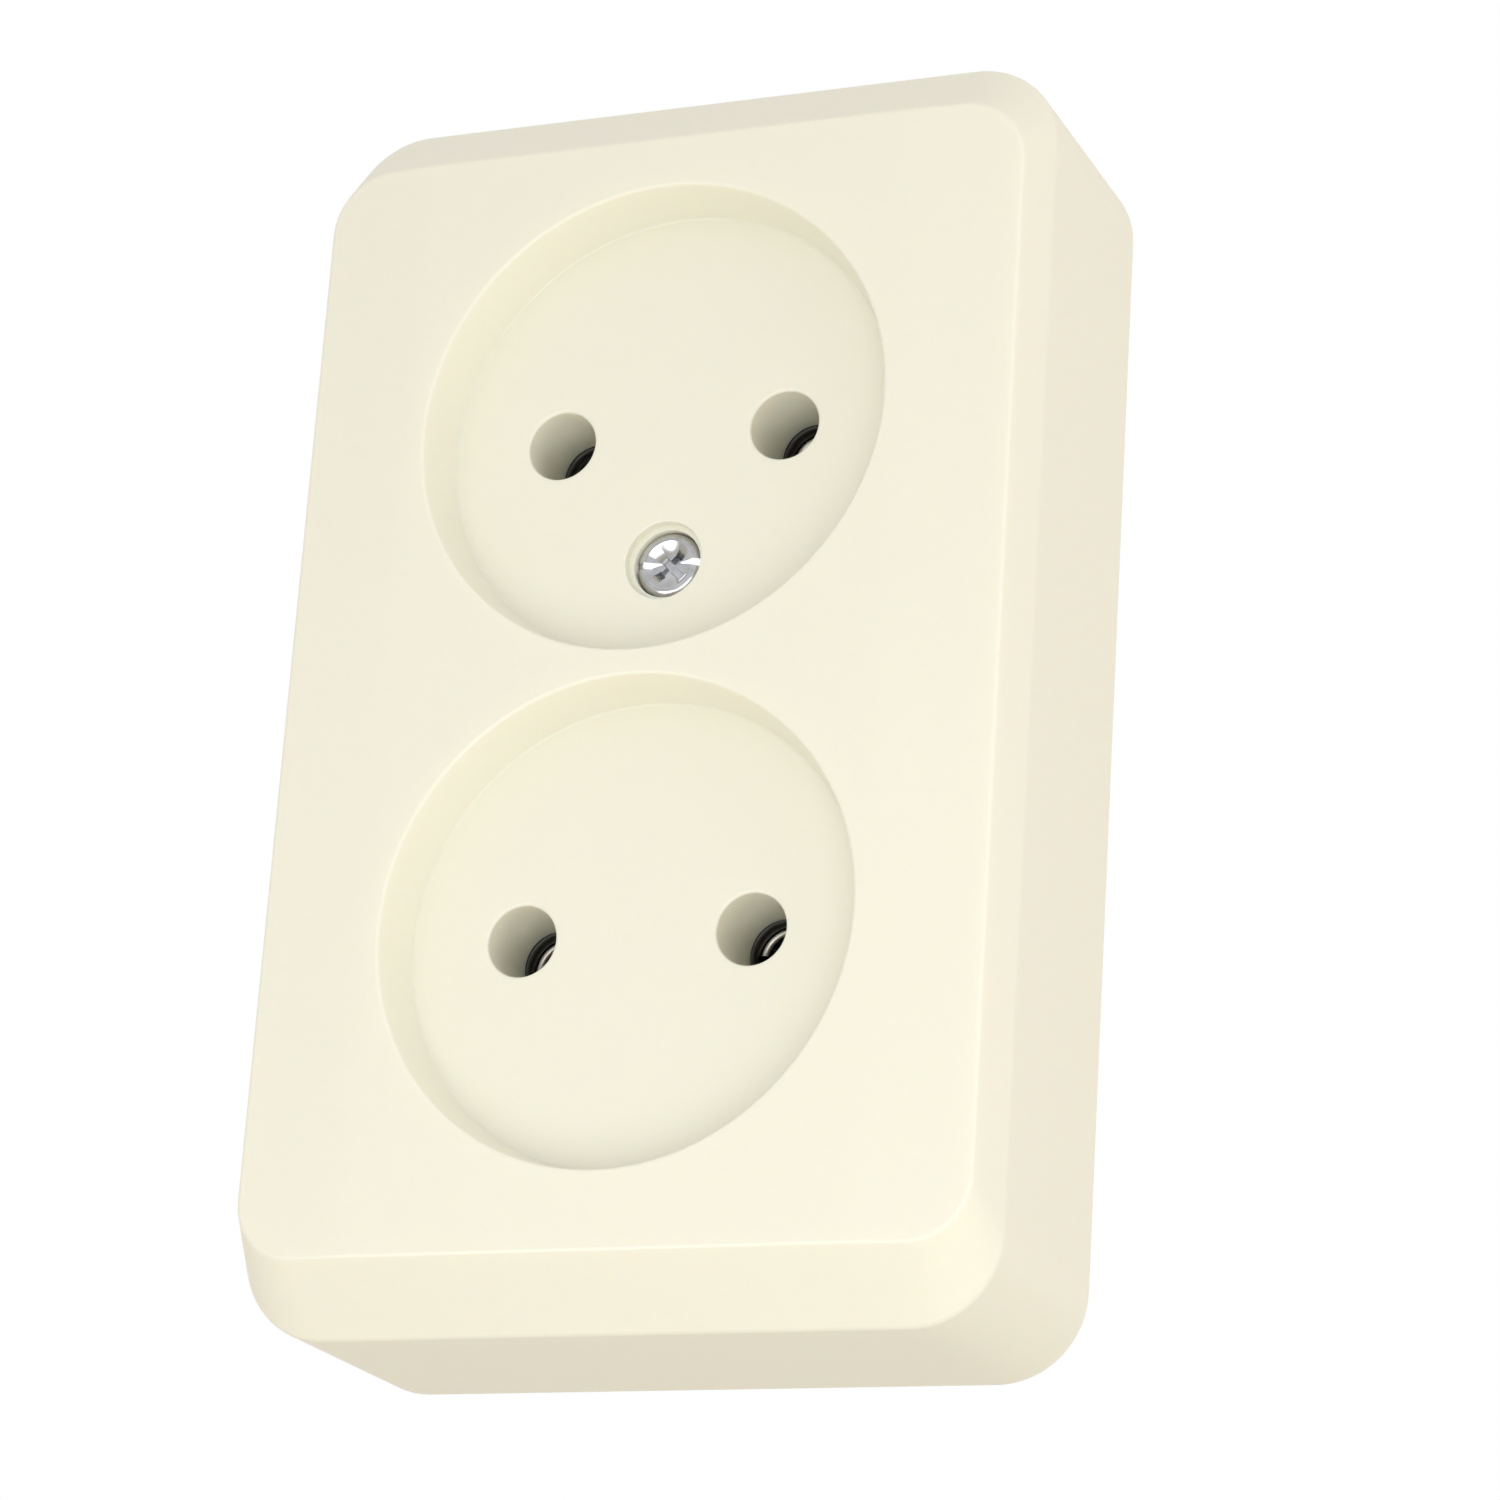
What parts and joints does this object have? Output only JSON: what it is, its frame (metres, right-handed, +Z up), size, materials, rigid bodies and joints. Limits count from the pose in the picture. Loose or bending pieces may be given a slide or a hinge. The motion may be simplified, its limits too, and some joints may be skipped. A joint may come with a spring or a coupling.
{
  "type": "duplex wall outlet",
  "caption": "Upright surface-mounted duplex socket outlet for round-pin plugs, with shallow round recesses in a bevelled ivory cover and the contacts and terminals inside.",
  "frame": {"origin": "centre of the back of the base, on the wall plane", "axes": "+X to the right seen from the front, +Y into the wall, +Z up"},
  "size_m": [0.0616, 0.0255, 0.101],
  "materials": {
    "ivory_plastic": "satin moulded ivory thermoset",
    "base_plastic": "matt off-white moulded plastic",
    "black_thermoset": "black phenolic moulding",
    "brass": "stamped bare brass",
    "nickel_brass": "nickel-plated brass",
    "spring_steel": "blued spring steel",
    "plated_steel": "bright zinc-plated steel",
    "fibre_washer": "red vulcanised fibre"
  },
  "bodies": {
    "cover": {"front_cover": "ivory_plastic"},
    "base": {"mounting_base": "base_plastic", "cover_screw_insert": "brass", "upper_contact_carrier": "black_thermoset", "upper_left_contact_sleeve": "nickel_brass", "upper_left_contact_spring": "spring_steel", "upper_right_contact_sleeve": "nickel_brass", "upper_right_contact_spring": "spring_steel", "lower_contact_carrier": "black_thermoset", "lower_left_contact_sleeve": "nickel_brass", "lower_left_contact_spring": "spring_steel", "lower_right_contact_sleeve": "nickel_brass", "lower_right_contact_spring": "spring_steel", "left_contact_strip": "brass", "left_terminal_block": "brass", "right_contact_strip": "brass", "right_terminal_block": "brass", "contact_rivets": "brass", "carrier_screws": "plated_steel"},
    "screw_washer": {"screw_retaining_washer": "fibre_washer"},
    "cover_screw": {"cover_screw": "plated_steel"},
    "left_upper_clamp": {"left_upper_clamp_plate": "plated_steel"},
    "left_upper_terminal_screw": {"left_upper_terminal_screw": "plated_steel"},
    "left_lower_clamp": {"left_lower_clamp_plate": "plated_steel"},
    "left_lower_terminal_screw": {"left_lower_terminal_screw": "plated_steel"},
    "right_upper_clamp": {"right_upper_clamp_plate": "plated_steel"},
    "right_upper_terminal_screw": {"right_upper_terminal_screw": "plated_steel"},
    "right_lower_clamp": {"right_lower_clamp_plate": "plated_steel"},
    "right_lower_terminal_screw": {"right_lower_terminal_screw": "plated_steel"}
  },
  "joints": [
    {"name": "cover_lift", "type": "slide", "parent": "base", "child": "cover", "axis": [0, -1, 0], "range_m": [0, 0.04]},
    {"name": "cover_screw_travel", "type": "slide", "parent": "cover", "child": "screw_washer", "axis": [0, -1, 0], "range_m": [0, 0.005]},
    {"name": "cover_screw_turn", "type": "hinge", "parent": "screw_washer", "child": "cover_screw", "pos_m": [0, -0.0199, 0.011], "axis": [0, -1, 0], "range_deg": [0, 3600]},
    {"name": "left_upper_clamp_travel", "type": "slide", "parent": "base", "child": "left_upper_clamp", "axis": [0, -1, 0], "range_m": [0, 0.002]},
    {"name": "left_upper_screw_turn", "type": "hinge", "parent": "left_upper_clamp", "child": "left_upper_terminal_screw", "pos_m": [-0.0176, -0.008, 0.00545], "axis": [0, -1, 0], "range_deg": [0, 1200]},
    {"name": "left_lower_clamp_travel", "type": "slide", "parent": "base", "child": "left_lower_clamp", "axis": [0, -1, 0], "range_m": [0, 0.002]},
    {"name": "left_lower_screw_turn", "type": "hinge", "parent": "left_lower_clamp", "child": "left_lower_terminal_screw", "pos_m": [-0.0176, -0.008, -0.00355], "axis": [0, -1, 0], "range_deg": [0, 1200]},
    {"name": "right_upper_clamp_travel", "type": "slide", "parent": "base", "child": "right_upper_clamp", "axis": [0, -1, 0], "range_m": [0, 0.002]},
    {"name": "right_upper_screw_turn", "type": "hinge", "parent": "right_upper_clamp", "child": "right_upper_terminal_screw", "pos_m": [0.0176, -0.008, 0.00545], "axis": [0, -1, 0], "range_deg": [0, 1200]},
    {"name": "right_lower_clamp_travel", "type": "slide", "parent": "base", "child": "right_lower_clamp", "axis": [0, -1, 0], "range_m": [0, 0.002]},
    {"name": "right_lower_screw_turn", "type": "hinge", "parent": "right_lower_clamp", "child": "right_lower_terminal_screw", "pos_m": [0.0176, -0.008, -0.00355], "axis": [0, -1, 0], "range_deg": [0, 1200]}
  ],
  "couplings": [
    {"joint": "cover_screw_turn", "follows": "cover_screw_travel", "rad_per_m": 12566},
    {"joint": "left_upper_screw_turn", "follows": "left_upper_clamp_travel", "rad_per_m": 10472},
    {"joint": "left_lower_screw_turn", "follows": "left_lower_clamp_travel", "rad_per_m": 10472},
    {"joint": "right_upper_screw_turn", "follows": "right_upper_clamp_travel", "rad_per_m": 10472},
    {"joint": "right_lower_screw_turn", "follows": "right_lower_clamp_travel", "rad_per_m": 10472}
  ]
}
